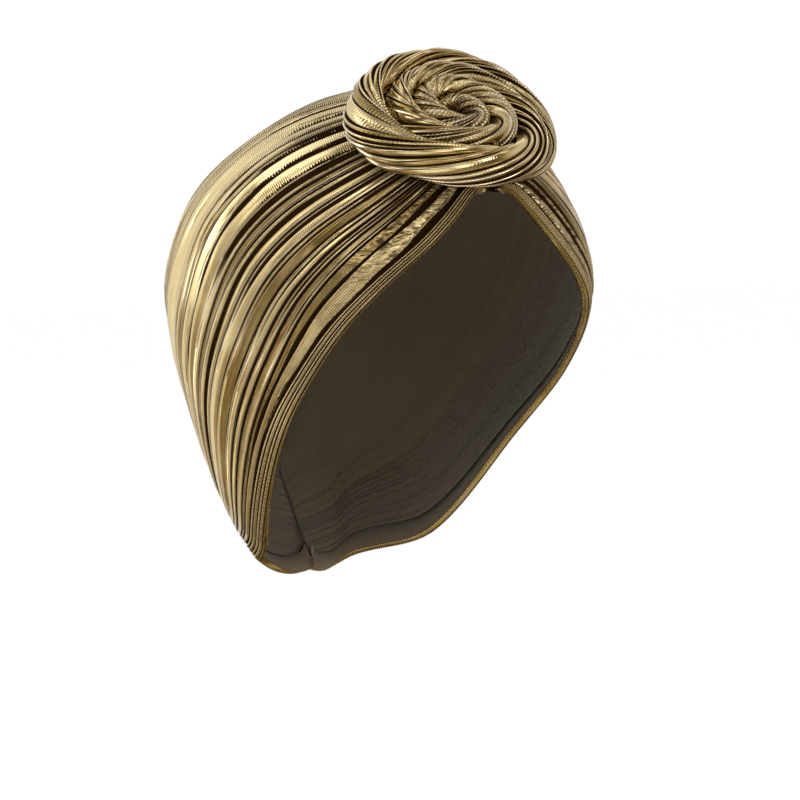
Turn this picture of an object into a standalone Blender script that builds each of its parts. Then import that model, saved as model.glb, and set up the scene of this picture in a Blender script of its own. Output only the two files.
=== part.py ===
# Turban hat: a cap of pleated knit cloth with a coiled knot at the front.
# Run with: blender --background --python part.py
# Lengths in the tables are millimetres; the meshes are made in metres.
# +Z is up, the face opening looks along -Y, and +X is the wearer's left.
# The origin is the inside of the crown at its highest point, where it sits on the head.

import bmesh
import bpy
import numpy as np

MM = 0.001
CLEARANCE = 0.35

# Crown: rings of pleats between the front gather (turn 0) and the nape seam (turn 180).
# Each row is one ring: the ends of its middle line, its half width, how far round the
# cloth goes from the middle line before it stops at the face opening, and the hem there.
RING_COLUMNS = ("turn", "top_y", "top_z", "low_y", "low_z", "half_width", "edge_turn", "hem_width")
RINGS = (
    (0.0, -13.0, -6.0, -52.5, -39.5, 6.0, 178.0, 4.0),
    (22.5, -5.5, 3.0, -58.5, -40.5, 32.5, 163.0, 5.0),
    (45.0, 31.5, -0.5, -66.5, -70.5, 61.0, 144.0, 5.0),
    (67.5, 66.5, -15.0, -65.0, -99.5, 80.5, 134.5, 5.5),
    (90.0, 96.0, -32.5, -47.0, -132.5, 84.0, 130.0, 6.0),
    (112.5, 112.5, -59.0, -17.0, -163.0, 77.0, 129.0, 7.0),
    (135.0, 115.5, -95.0, 24.0, -210.5, 54.5, 126.0, 8.0),
    (157.5, 115.0, -130.0, 68.5, -214.5, 29.0, 132.0, 8.0),
    (180.0, 107.0, -157.5, 75.5, -200.5, 4.5, 177.0, 6.0),
)
RING_STEPS = 22

# Pleats: how many, how deep at most and against their width, where their two ridges lie
# across them and how far the second one drops, and the depth of the inner face.
PLEAT_COUNT = 44
PLEAT_DEPTH = 2.0
PLEAT_SLOPE = 0.5
RIDGE_PLACES = (0.22, 0.78)
RIDGE_DROPS = (0.0, 0.35)
INNER_EVERY = 2
WIDTH_VARIATION = 0.3
WIDTH_SEED = 5
WALL = 3.4
EDGE_FOLD_FRONT = 0.12
EDGE_FOLD_BACK = 0.035
SPREAD = 1.6
SPREAD_START = 0.08
SPREAD_END = 0.63

# Hem: three fine ribs beside each other along the face opening.
HEM_RIBS = 3
HEM_SINK = 0.4
HEM_RIB_DEPTH = 0.7

# Knot: an oval coil of twisted rope. Its frame has X across, "rise" up the slope and
# "out" away from the head.
KNOT_CENTRE = (-6.5, -43.5, -11.0)
KNOT_TILT = 48.0
KNOT_OVAL = 0.73
KNOT_BEND = 0.0028
# Each row is a place on the rope: turn in degrees round the knot, distance from the
# knot's centre, half of the rope's width and height there, and how far out its middle is.
COIL_COLUMNS = ("turn", "reach", "half_width", "half_height", "out")
COIL = (
    (-45.0, 44.0, 3.0, 4.0, -4.5),
    (0.0, 44.5, 5.5, 7.0, -1.8),
    (90.0, 42.8, 6.2, 8.3, -0.4),
    (180.0, 41.0, 8.0, 8.8, 0.0),
    (270.0, 39.3, 9.0, 8.8, 0.0),
    (360.0, 32.0, 7.0, 8.4, 0.6),
    (450.0, 28.7, 5.2, 8.0, 1.0),
    (540.0, 26.2, 5.4, 8.0, 1.2),
    (630.0, 26.7, 6.4, 8.0, 1.2),
    (720.0, 19.8, 6.0, 7.6, 1.2),
    (810.0, 14.8, 4.9, 7.4, 1.2),
    (900.0, 13.9, 5.6, 7.2, 1.0),
    (990.0, 16.2, 5.8, 7.0, 0.8),
    (1080.0, 8.9, 4.8, 6.2, 0.0),
    (1170.0, 5.0, 3.7, 5.5, -0.8),
    (1260.0, 4.2, 3.5, 4.5, -2.0),
    (1305.0, 3.6, 2.4, 3.2, -3.2),
)
# The middle of the coil lies this far from the knot's centre, reached over these turns.
EYE_ACROSS = -2.0
EYE_UP = 4.5
EYE_START = 90.0
EYE_END = 990.0
NECK_MARGIN = 1.0
COIL_STEPS_PER_TURN = 20
COIL_PLEATS = 11
COIL_PLEAT_DEPTH = 0.13
COIL_TWIST = 1.9

# Finishes: colour, metallic and roughness of the cloth.
GOLD_CLOTH = ((0.60, 0.47, 0.22, 1.0), 0.85, 0.34)
HEM_CLOTH = ((0.42, 0.33, 0.16, 1.0), 0.75, 0.45)
KNOT_CLOTH = ((0.64, 0.51, 0.26, 1.0), 0.85, 0.32)


def smooth_value(places, values, where):
    """A smooth curve through the table's values, read at the given places."""
    places = np.asarray(places, float)
    values = np.asarray(values, float)
    where = np.asarray(where, float)
    slopes = np.gradient(values, places)
    row = np.clip(np.searchsorted(places, where, side="right") - 1, 0, len(places) - 2)
    span = places[row + 1] - places[row]
    x = (where - places[row]) / span
    rise = values[row + 1] - values[row]
    start = slopes[row] * span
    end = slopes[row + 1] * span
    return values[row] + x * (start + x * (3 * rise - 2 * start - end + x * (start + end - 2 * rise)))


def table_value(table, columns, name, where):
    """One named column of a table, read smoothly at places given in its first column."""
    rows = np.array(table)
    return smooth_value(rows[:, 0], rows[:, columns.index(name)], where)


def ring_value(name, along):
    """A ring measure at a share of the way from the front gather to the nape seam."""
    return table_value(RINGS, RING_COLUMNS, name, np.asarray(along, float) * 180.0)


def ring_curve(along, angle):
    """Points of one ring's outer face at angles round it from the middle line."""
    top = np.array([0.0, ring_value("top_y", along), ring_value("top_z", along)])
    low = np.array([0.0, ring_value("low_y", along), ring_value("low_z", along)])
    side = np.array([ring_value("half_width", along), 0.0, 0.0])
    angle = np.asarray(angle)[..., None]
    return (top + low) / 2 + (top - low) / 2 * np.cos(angle) + side * np.sin(angle)


def ring_girths(along):
    """Angles round one side of a ring, and the length of cloth from the middle line to each."""
    angles = np.radians(ring_value("edge_turn", along)) * np.linspace(0.0, 1.0, 81)
    steps = np.linalg.norm(np.diff(ring_curve(along, angles), axis=0), axis=1)
    return angles, np.concatenate([[0.0], np.cumsum(steps)])


def half_girth(along):
    """Length of cloth round a ring, from the middle line to the face opening."""
    return ring_girths(along)[1][-1]


def ring_surface(along, across):
    """Points of a ring's outer face. across: -1 right edge, 0 middle line, 1 left edge."""
    angles, girths = ring_girths(along)
    angle = np.interp(np.abs(across) * girths[-1], girths, angles)
    return ring_curve(along, np.sign(across) * angle)


def ring_points(along, across, depth):
    """Points of a ring a given depth inside its outer face. along: 0 front, 1 nape."""
    nudge = 0.004
    ahead = ring_surface(min(along + nudge, 1.0), across)
    behind = ring_surface(max(along - nudge, 0.0), across)
    sideways = ring_surface(along, across + nudge) - ring_surface(along, across - nudge)
    outward = np.cross(sideways, ahead - behind)
    outward = outward / np.linalg.norm(outward, axis=1)[:, None]
    return ring_surface(along, across) - outward * np.asarray(depth)[:, None]


def hem_share(along):
    """Where the hem begins, as a share across."""
    return 1.0 - ring_value("hem_width", along) / half_girth(along)


def pleat_lines():
    """Pleat edges as shares from -1 to 1, alike on both sides, each pleat a little different."""
    chance = np.random.default_rng(WIDTH_SEED)
    widths = 1.0 + WIDTH_VARIATION * chance.uniform(-1.0, 1.0, PLEAT_COUNT)
    lines = np.concatenate([[0.0], np.cumsum(widths)])
    return 2.0 * lines / lines[-1] - 1.0


def ease(x):
    """A smooth step from 0 to 1."""
    x = np.clip(x, 0.0, 1.0)
    return x * x * (3.0 - 2.0 * x)


def pleat_across(line, along):
    """Where a pleat line lies across the crown: pleats fan out towards the back of the head."""
    spread = ease((along - SPREAD_START) / (SPREAD_END - SPREAD_START))
    fold = EDGE_FOLD_FRONT + (EDGE_FOLD_BACK - EDGE_FOLD_FRONT) * spread
    side = np.abs(line)
    body = side * (1.0 + SPREAD * spread * (1.0 - side) ** 2)
    return np.sign(line) * body * (1.0 - fold) * hem_share(along)


def add_object(name, points, faces, finish):
    """A named object from points in millimetres, with its own material."""
    mesh = bpy.data.meshes.new(name)
    mesh.from_pydata([tuple(MM * float(v) for v in point) for point in points], [], faces)
    shape = bmesh.new()
    shape.from_mesh(mesh)
    bmesh.ops.triangulate(shape, faces=shape.faces, quad_method="SHORT_EDGE")
    bmesh.ops.recalc_face_normals(shape, faces=shape.faces)
    shape.to_mesh(mesh)
    shape.free()
    colour, metallic, roughness = finish
    material = bpy.data.materials.new(name + "_cloth")
    material.use_nodes = True
    shader = material.node_tree.nodes["Principled BSDF"]
    shader.inputs["Base Color"].default_value = colour
    shader.inputs["Metallic"].default_value = metallic
    shader.inputs["Roughness"].default_value = roughness
    mesh.materials.append(material)
    thing = bpy.data.objects.new(name, mesh)
    bpy.context.scene.collection.objects.link(thing)
    return thing


def knot_frame():
    """The knot's rise and out directions."""
    tilt = np.radians(KNOT_TILT)
    rise = np.array([0.0, np.sin(tilt), np.cos(tilt)])
    out = np.array([0.0, -np.cos(tilt), np.sin(tilt)])
    return rise, out


def pleat_edges(along):
    """Shares across where the pleats of one ring meet, the wide edge folds included."""
    edge = hem_share(along)
    return np.concatenate([[-edge], pleat_across(pleat_lines(), along), [edge]])


def outer_row(along):
    """One ring of the pleated face: a valley at each pleat's edge and two ridges between."""
    valleys = pleat_edges(along)
    widths = np.diff(valleys)
    deep = np.minimum(PLEAT_DEPTH, PLEAT_SLOPE * widths * half_girth(along))
    across = np.empty(3 * len(widths) + 1)
    depth = np.empty_like(across)
    across[0::3] = valleys
    depth[0::3] = np.minimum(np.append(deep, deep[-1]), np.insert(deep, 0, deep[0]))
    for place, (share, drop) in enumerate(zip(RIDGE_PLACES, RIDGE_DROPS), start=1):
        across[place::3] = valleys[:-1] + share * widths
        depth[place::3] = drop * deep
    return ring_points(along, across, depth)


def inner_row(along):
    """One ring of the plain inner face, with a point for every few pleats."""
    valleys = pleat_edges(along)
    across = np.append(valleys[:-1:INNER_EVERY], valleys[-1])
    return ring_points(along, across, np.full_like(across, WALL))


def coil_places():
    """The rope's faceted surface in the knot's frame: across, up and out, a ring for each step."""
    first, last = COIL[0][0], COIL[-1][0]
    steps = round((last - first) / 360.0 * COIL_STEPS_PER_TURN)
    turn = np.linspace(first, last, steps + 1)
    slip = ease((turn - EYE_START) / (EYE_END - EYE_START))[:, None]
    reach, half_width, half_height, out = (
        table_value(COIL, COIL_COLUMNS, name, turn)[:, None] for name in COIL_COLUMNS[1:])
    turn = np.radians(turn)[:, None]
    sides = 2 * COIL_PLEATS
    around = 2.0 * np.pi * np.arange(sides) / sides + COIL_TWIST * turn
    swell = np.where(np.arange(sides) % 2 == 0, 1.0, 1.0 - COIL_PLEAT_DEPTH)
    from_centre = reach + half_width * swell * np.cos(around)
    across = from_centre * np.cos(turn) + slip * EYE_ACROSS
    up = from_centre * np.sin(turn) * KNOT_OVAL + slip * EYE_UP
    return across, up, out + half_height * swell * np.sin(around) - KNOT_BEND * across ** 2


def neck_row(first_row):
    """The front gather rises until it nearly meets the underside of the coil."""
    rise_way, out_way = knot_frame()
    from_centre = first_row - np.array(KNOT_CENTRE)
    across, up, out = coil_places()
    over_neck = (np.abs(across - from_centre[:, 0].mean()) < np.ptp(from_centre[:, 0]) / 2)
    over_neck &= (np.abs(up) < np.abs(from_centre @ rise_way).max() + NECK_MARGIN)
    underside = out[over_neck].min() - CLEARANCE
    return first_row + (underside - from_centre @ out_way)[:, None] * out_way


def make_crown():
    """The pleated shell: pleats outside, a plain face inside, solid at both gathered ends."""
    stations = np.linspace(0.0, 1.0, RING_STEPS + 1)
    inner = np.array([inner_row(along) for along in stations])
    outer = [outer_row(along) for along in stations]
    outer = np.array([neck_row(outer[0])] + outer)
    rows, wide = outer.shape[:2]
    inner_rows, narrow = inner.shape[:2]
    shift = rows * wide
    faces = []
    for r in range(rows - 1):
        for c in range(wide - 1):
            a = r * wide + c
            faces.append((a, a + 1, a + wide + 1, a + wide))
    for r in range(inner_rows - 1):
        for c in range(narrow - 1):
            a = shift + r * narrow + c
            faces.append((a, a + narrow, a + narrow + 1, a + 1))
    for r in range(inner_rows - 1):
        for near, far in ((0, 0), (wide - 1, narrow - 1)):
            a = (r + 1) * wide + near
            b = shift + r * narrow + far
            faces.append((a, a + wide, b + narrow, b))
    last = (rows - 1) * wide
    last_inner = shift + (inner_rows - 1) * narrow
    faces.append(tuple(range(wide)))
    faces.append(tuple(range(last, last + wide)))
    faces.append(tuple(range(shift, shift + narrow)))
    faces.append(tuple(range(last_inner, last_inner + narrow)))
    faces.append((0, wide - 1, 2 * wide - 1, shift + narrow - 1, shift, wide))
    faces.append((last, last + wide - 1, last_inner + narrow - 1, last_inner))
    points = np.concatenate([outer.reshape(-1, 3), inner.reshape(-1, 3)])
    return add_object("crown", points, faces, GOLD_CLOTH)


def tube_faces(rings, sides):
    """Faces of a closed tube from its rings of points, with flat ends."""
    faces = []
    for r in range(rings - 1):
        for s in range(sides):
            after = (s + 1) % sides
            faces.append((r * sides + s, r * sides + after, (r + 1) * sides + after, (r + 1) * sides + s))
    faces.append(tuple(range(sides)))
    faces.append(tuple(range((rings - 1) * sides, rings * sides)))
    return faces


def make_hem(name, side):
    """One hem band: ribs outside, flat inside, beside the crown's last fold."""
    rings = []
    for share in np.linspace(0.0, 1.0, RING_STEPS + 1)[1:]:
        start = hem_share(share) + CLEARANCE / half_girth(share)
        across = np.linspace(start, 1.0, 2 * HEM_RIBS + 1)
        depth = np.full(len(across), HEM_SINK)
        depth[0::2] += HEM_RIB_DEPTH
        outer = ring_points(share, side * across, depth)
        inner_across = across[::-HEM_RIBS]
        inner = ring_points(share, side * inner_across, np.full(len(inner_across), WALL))
        rings.append(np.concatenate([outer, inner]))
    rings = np.array(rings)
    return add_object(name, rings.reshape(-1, 3), tube_faces(*rings.shape[:2]), HEM_CLOTH)


def make_knot():
    """The twisted rope, coiled inwards anticlockwise as seen from the front."""
    rise_way, out_way = knot_frame()
    across, up, out = coil_places()
    points = np.array(KNOT_CENTRE) + up[..., None] * rise_way + out[..., None] * out_way
    points[..., 0] += across
    return add_object("knot_coil", points.reshape(-1, 3), tube_faces(*across.shape), KNOT_CLOTH)


for old in list(bpy.data.objects):
    bpy.data.objects.remove(old)

make_crown()
make_hem("face_hem_right", -1)
make_hem("face_hem_left", 1)
make_knot()
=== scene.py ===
# %% [markdown]
# # A turban hat of pleated gold cloth
# The hat is a cap of thin knit cloth with a metallic foil face, set in sharp pleats. The pleats start in a
# tight gather under the knot, run over the top and meet in a short seam at the nape. A rope of the same
# cloth is coiled into a flat knot at the front, and a narrow ribbed hem runs down each side of the face.
#
# The plan: build each piece as a smooth shell whose shape comes from a short table, let one Geometry Nodes
# rule press the pleats into all of them, and then give the cloth its foil, its ribs and the painted shade in
# its folds.

# %% The frame
import bmesh
import bpy
import math
import numpy as np
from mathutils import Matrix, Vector


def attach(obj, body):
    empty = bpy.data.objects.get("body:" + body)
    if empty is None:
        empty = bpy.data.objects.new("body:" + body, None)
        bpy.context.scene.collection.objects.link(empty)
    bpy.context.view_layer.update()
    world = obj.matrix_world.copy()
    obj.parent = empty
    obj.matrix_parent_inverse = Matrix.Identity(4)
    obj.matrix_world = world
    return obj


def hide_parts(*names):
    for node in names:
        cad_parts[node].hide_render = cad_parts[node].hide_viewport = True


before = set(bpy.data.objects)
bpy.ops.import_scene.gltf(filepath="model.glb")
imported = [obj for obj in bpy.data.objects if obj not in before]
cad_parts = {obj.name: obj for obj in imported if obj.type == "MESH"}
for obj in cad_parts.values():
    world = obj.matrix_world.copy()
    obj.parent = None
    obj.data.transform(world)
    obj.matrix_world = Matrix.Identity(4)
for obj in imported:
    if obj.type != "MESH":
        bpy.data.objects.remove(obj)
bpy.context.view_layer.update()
MM = 0.001
print("solids to dress:", ", ".join(sorted(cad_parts)))

# %% [markdown]
# ## The sizes of the cap
# The cloth lies on rings, from the gather under the knot (0) to the seam at the nape (180). Each ring is a
# stretched loop that goes from its top down both sides of the cap and stops at the face opening. A row of
# the table gives one ring in millimetres and degrees, and a smooth curve gives the rings between. The solids
# have the same sizes, so the dressed cap lies where they are.

# %% Cap sizes
RING_COLUMNS = ("turn", "top_y", "top_z", "low_y", "low_z", "half_width", "edge_turn", "hem_width")
RINGS = (
    (0.0, -13.0, -6.0, -52.5, -39.5, 6.0, 178.0, 4.0),
    (22.5, -5.5, 3.0, -58.5, -40.5, 32.5, 163.0, 5.0),
    (45.0, 31.5, -0.5, -66.5, -70.5, 61.0, 144.0, 5.0),
    (67.5, 66.5, -15.0, -65.0, -99.5, 80.5, 134.5, 5.5),
    (90.0, 96.0, -32.5, -47.0, -132.5, 84.0, 130.0, 6.0),
    (112.5, 112.5, -59.0, -17.0, -163.0, 77.0, 129.0, 7.0),
    (135.0, 115.5, -95.0, 24.0, -210.5, 54.5, 126.0, 8.0),
    (157.5, 115.0, -130.0, 68.5, -214.5, 29.0, 132.0, 8.0),
    (180.0, 107.0, -157.5, 75.5, -200.5, 4.5, 177.0, 6.0),
)
WALL = 3.4


def smooth_value(places, values, where):
    """A smooth curve through a table's values."""
    places, values, where = (np.asarray(x, float) for x in (places, values, where))
    slopes = np.gradient(values, places)
    row = np.clip(np.searchsorted(places, where, side="right") - 1, 0, len(places) - 2)
    span = places[row + 1] - places[row]
    x = (where - places[row]) / span
    rise = values[row + 1] - values[row]
    start, end = slopes[row] * span, slopes[row + 1] * span
    return values[row] + x * (start + x * (3 * rise - 2 * start - end + x * (start + end - 2 * rise)))


def table_value(table, columns, name, where):
    """One column of a table, read at places in its first column."""
    rows = np.array(table)
    return smooth_value(rows[:, 0], rows[:, columns.index(name)], where)


def ring_value(name, along):
    """A ring's measure between the gather (0) and the nape seam (1)."""
    return table_value(RINGS, RING_COLUMNS, name, np.asarray(along, float) * RINGS[-1][0])


# %% [markdown]
# ## Places on the cloth
# Every point of the cap is named by two shares: `along`, from the gather to the nape, and `across`, from the
# right edge (-1) over the middle of the cap (0) to the left edge (1). `across` is counted in cloth, not in
# degrees, so pleats keep their width round the tight ends of a ring.

# %% Points on the cap
GIRTH_STEPS = 81
NUDGE = 0.004


def ring_curve(along, angle):
    """Points of one ring at angles round it from its top."""
    top = np.array([0.0, ring_value("top_y", along), ring_value("top_z", along)])
    low = np.array([0.0, ring_value("low_y", along), ring_value("low_z", along)])
    side = np.array([ring_value("half_width", along), 0.0, 0.0])
    angle = np.asarray(angle)[..., None]
    return (top + low) / 2 + (top - low) / 2 * np.cos(angle) + side * np.sin(angle)


def ring_girths(along):
    """Angles down one side of a ring, and the length of cloth to each of them."""
    angles = np.radians(ring_value("edge_turn", along)) * np.linspace(0.0, 1.0, GIRTH_STEPS)
    steps = np.linalg.norm(np.diff(ring_curve(along, angles), axis=0), axis=1)
    return angles, np.concatenate([[0.0], np.cumsum(steps)])


def half_girth(along):
    """Millimetres of cloth from a ring's middle to the face opening."""
    return ring_girths(along)[1][-1]


def ring_surface(along, across):
    """Points of one ring's outer face."""
    angles, girths = ring_girths(along)
    angle = np.interp(np.abs(across) * girths[-1], girths, angles)
    return ring_curve(along, np.sign(across) * angle)


def ring_places(along, across):
    """Points of one ring's outer face, and their outward directions."""
    ahead = ring_surface(min(along + NUDGE, 1.0), across)
    behind = ring_surface(max(along - NUDGE, 0.0), across)
    sideways = ring_surface(along, across + NUDGE) - ring_surface(along, across - NUDGE)
    outward = np.cross(sideways, ahead - behind)
    outward = outward / np.linalg.norm(outward, axis=1)[:, None]
    return ring_surface(along, across), outward


def hem_share(along):
    """Where the hem begins, as a share across."""
    return 1.0 - ring_value("hem_width", along) / half_girth(along)


for place, along in (("gather", 0.0), ("ears", 0.5)):
    print(f"cloth from the middle to the face opening, at the {place}: {half_girth(along):.0f} mm")

# %% [markdown]
# ## Where the pleats run
# The pleats fan out from the gather towards the back. On the real cap no two are alike, so their widths come
# from a seeded generator. Some are split by a shallow line that ends behind the ears, and where the cloth
# fans out new lines open inside the widest. Beside the hem a wide fold lies flat, and narrows to the nape.

# %% Pleat lines
PLEAT_COUNT = 44
WIDTH_SEED = 5
WIDTH_VARIATION = 0.45
WIDTH_LIMITS = (0.55, 1.35)
WIDTH_TOP, WIDTH_SIDE = 1.15, 0.8
WIDTH_RANGE = (0.35, 0.75)
WHOLE, ENDS_EARLY, STARTS_LATE = 0, 1, 2
SPLIT_SHARES = (0.1, 0.8)
SPLIT_RANGE = (0.5, 0.8)
SPLIT_PLACE = (0.28, 0.72)
SPLIT_OPEN = (0.35, 0.35, 0.9)
SPLIT_END = (0.34, 0.56)
LATE_SEED = 7
LATE_WIDTH = 0.03
LATE_MOST = 2
LATE_REACH = 0.55
LATE_SHIFT = 0.1
LATE_OPEN = (0.4, 0.8)
LATE_START = (0.12, 0.3)
EDGE_FOLD_FRONT, EDGE_FOLD_BACK = 0.115, 0.035
EDGE_FOLD_CREASE = 0.36
EDGE_OPEN = (2.0, 1.0)
SPREAD = 1.6
SPREAD_RANGE = (0.08, 0.63)


def ease(x, low, high):
    """A smooth step from 0 at low to 1 at high."""
    x = np.clip((x - low) / (high - low), 0.0, 1.0)
    return x * x * (3.0 - 2.0 * x)


def late_lines(lines, middles, split):
    """Lines that open toward the back inside wide pleats, and how open they are."""
    chance = np.random.default_rng(LATE_SEED)
    widths = np.diff(lines)
    spread = widths * (1.0 + SPREAD * (1.0 - middles) * (1.0 - 3.0 * middles))
    count = np.clip(np.round(spread / LATE_WIDTH).astype(int) - 1, 0, LATE_MOST)
    count = count * (middles < LATE_REACH) * ~split
    late = [lines[k] + widths[k] * ((n + 1) / (count[k] + 1) + chance.uniform(-LATE_SHIFT, LATE_SHIFT))
            for k in range(PLEAT_COUNT) for n in range(count[k])]
    return late, chance.uniform(*LATE_OPEN, len(late))


def pleat_lines():
    """The lines between pleats as shares from -1 to 1, how open each is, and its kind."""
    chance = np.random.default_rng(WIDTH_SEED)
    widths = np.clip(np.exp(WIDTH_VARIATION * chance.normal(0.0, 1.0, PLEAT_COUNT)), *WIDTH_LIMITS)
    from_top = np.abs(np.linspace(-1.0, 1.0, PLEAT_COUNT))
    widths *= WIDTH_TOP + (WIDTH_SIDE - WIDTH_TOP) * ease(from_top, *WIDTH_RANGE)
    whole = np.concatenate([[0.0], np.cumsum(widths)])
    whole = 2.0 * whole / whole[-1] - 1.0
    middles = np.abs(whole[:-1] + whole[1:]) / 2
    few, many = SPLIT_SHARES
    split = chance.uniform(0.0, 1.0, PLEAT_COUNT) < few + (many - few) * ease(middles, *SPLIT_RANGE)
    early = (whole[:-1] + np.diff(whole) * chance.uniform(*SPLIT_PLACE, PLEAT_COUNT))[split]
    early_open = chance.choice(SPLIT_OPEN, len(early))
    late, late_open = late_lines(whole, middles, split)
    lines = np.concatenate([whole, early, late])
    opened = np.concatenate([np.ones(len(whole)), early_open, late_open])
    kinds = np.repeat([WHOLE, ENDS_EARLY, STARTS_LATE], [len(whole), len(early), len(late)])
    order = np.argsort(lines)
    return lines[order], opened[order], kinds[order]


def pleat_edges(along):
    """The lines of one ring, from hem to hem, with the wide folds at both ends."""
    spread = ease(along, *SPREAD_RANGE)
    fold = EDGE_FOLD_FRONT + (EDGE_FOLD_BACK - EDGE_FOLD_FRONT) * spread
    body = LINES * (1.0 + SPREAD * spread * (1.0 - np.abs(LINES)) ** 2) * (1.0 - fold)
    crease = 1.0 - fold * (1.0 - EDGE_FOLD_CREASE)
    return np.concatenate([[-1.0, -crease], body, [crease, 1.0]]) * hem_share(along)


LINES, opened, kinds = pleat_lines()
LINE_OPEN = np.concatenate([EDGE_OPEN, opened, EDGE_OPEN[::-1]])
LINE_KIND = np.concatenate([[WHOLE, WHOLE], kinds, [WHOLE, WHOLE]])
PLEATS = len(LINE_OPEN) - 1
widest = np.diff(pleat_edges(0.5)).max() * half_girth(0.5)
print(f"{PLEATS} pleats with split and late ones, the widest {widest:.1f} mm across at the ears")

# %% [markdown]
# ## One rule for all pleats
# A pleat is a broad face between two sharp folds, with a dark gap on each side where the cloth turns in.
# Sculpting would lose the rhythm, so one Geometry Nodes tree presses the crown's pleats, the knot's ridges
# and the beaded ribs of the hem. It reads where each point lies across its pleat, drops the gap, and lets the
# face lean, bulge, sink, peak and waver at random. It leaves four attributes for the material: `fold` (1 on a
# face, 0 in a gap), `verge` (the way from the gap), `bend` (in a crease) and `tone` (a number for the pleat).

# %% Helpers for node trees
class Wire:
    """A node's output that works in a formula: each +, -, * or / adds one Math node."""

    def __init__(self, tree, socket):
        self.tree = tree
        self.socket = socket

    def __add__(self, other):
        return calc("ADD", self, other)

    def __radd__(self, other):
        return calc("ADD", other, self)

    def __sub__(self, other):
        return calc("SUBTRACT", self, other)

    def __rsub__(self, other):
        return calc("SUBTRACT", other, self)

    def __mul__(self, other):
        return calc("MULTIPLY", self, other)

    def __truediv__(self, other):
        return calc("DIVIDE", self, other)


def put(socket, value):
    """Gives a socket a number, a colour or a wire."""
    if isinstance(value, Wire):
        value.tree.links.new(value.socket, socket)
    else:
        socket.default_value = value


def node(tree, kind, inputs=(), output=0, **settings):
    """Adds a node with its inputs and settings, and gives one of its outputs."""
    new = tree.nodes.new(kind)
    for name, value in settings.items():
        setattr(new, name, value)
    for name, value in dict(inputs).items():
        put(new.inputs[name], value)
    return Wire(tree, new.outputs[output])


def calc(operation, *values):
    """One Math node."""
    tree = next(value.tree for value in values if isinstance(value, Wire))
    return node(tree, "ShaderNodeMath", dict(enumerate(values)), operation=operation)


def soft_step(value, low, high):
    """0 below low, 1 above high, and a smooth slope between."""
    inputs = {0: value, 1: low, 2: high}
    return node(value.tree, "ShaderNodeMapRange", inputs, interpolation_type="SMOOTHSTEP")


def attribute(tree, name, kind="FLOAT"):
    """A named attribute inside Geometry Nodes."""
    return node(tree, "GeometryNodeInputNamedAttribute", {"Name": name}, "Attribute", data_type=kind)


def pleat_chance(pleat, seed, low, high):
    """A random number that belongs to a pleat."""
    inputs = {2: low, 3: high, "ID": pleat, "Seed": seed}
    return node(pleat.tree, "FunctionNodeRandomValue", inputs, 1, data_type="FLOAT")


# %% The shape of a pleat's face
BULGE_RANGE = (-0.6, 1.0)
PEAK_RANGE = (0.1, 1.0)
WAVER_STEP = 7.31
WAVER_ACROSS = 0.7
# The crease depth, scaled into a mask that the material uses to paint shade in creases
BEND_SCALE = 600.0


def face_shape(given, pleat, phase):
    """How a face leans, bulges, sinks and peaks, as a share of its pleat's depth."""
    seed = given["Seed"]
    from_middle = phase - 0.5
    lean = (pleat_chance(pleat, seed, -1.0, 1.0) + given["Lean Bias"]) * given["Lean"]
    bulge = pleat_chance(pleat, seed + 1, *BULGE_RANGE) * given["Bulge"]
    sink = pleat_chance(pleat, seed + 3, 0.0, 1.0) * given["Sink"]
    peak = pleat_chance(pleat, seed + 4, *PEAK_RANGE) * given["Peak"]
    roof = 0.5 - calc("ABSOLUTE", from_middle) * 2.0
    return lean * from_middle - bulge * (from_middle * from_middle * 4.0) - sink + peak * roof


def face_waver(given, pleat, phase, length):
    """A slow rise and fall along each pleat, so no face is quite straight."""
    place = {0: length / given["Waver Length"], 1: pleat * WAVER_STEP, 2: phase * WAVER_ACROSS}
    spot = node(pleat.tree, "ShaderNodeCombineXYZ", place)
    noise = node(pleat.tree, "ShaderNodeTexNoise", {"Vector": spot, "Scale": 1.0, "Detail": 2.0})
    return (noise - 0.5) * given["Waver"]


def pressing(tree, given):
    """The height of each point over its shell, and the attributes that the material reads."""
    names = ("place", "width", "gap", "deep", "crease_at", "crease", "length", "open", "inside")
    place, width, gap, deep, crease_at, crease, length, opened, inside = (
        attribute(tree, name) for name in names)
    pleat = calc("FLOOR", place)
    phase = calc("FRACT", place)
    from_line = calc("MINIMUM", phase, 1.0 - phase) * width
    edge = calc("MINIMUM", given["Edge Radius"], width * given["Edge Share"])
    face = soft_step(from_line, gap, gap + edge)
    from_crease = calc("ABSOLUTE", (phase - crease_at) * width)
    bend = (1.0 - soft_step(from_crease, 0.0, given["Crease Width"])) * crease * given["Crease Depth"]
    waver = face_waver(given, pleat, phase, length)
    beads = calc("SINE", length / given["Bead Pitch"] * (2.0 * math.pi)) * given["Bead Height"]
    raised = face_shape(given, pleat, phase) * deep + (waver + beads) - bend
    height = (face - 1.0) * deep + raised * face
    return height * (1.0 - inside), {
        "fold": 1.0 - (1.0 - face) * opened, "verge": from_line - gap, "bend": bend * BEND_SCALE,
        "tone": pleat_chance(pleat, given["Seed"] + 2, 0.0, 1.0)}


# %% The tree that presses pleats
PRESS_SIZES = ("Edge Radius", "Edge Share", "Lean", "Lean Bias", "Bulge", "Peak", "Sink", "Crease Depth",
               "Crease Width", "Waver", "Waver Length", "Bead Pitch", "Bead Height")
PRESS_KINDS = {"Shell": "Geometry", **{name: "Float" for name in PRESS_SIZES},
               "Seed": "Int", "Cloth": "Material", "Reverse": "Material"}


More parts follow.
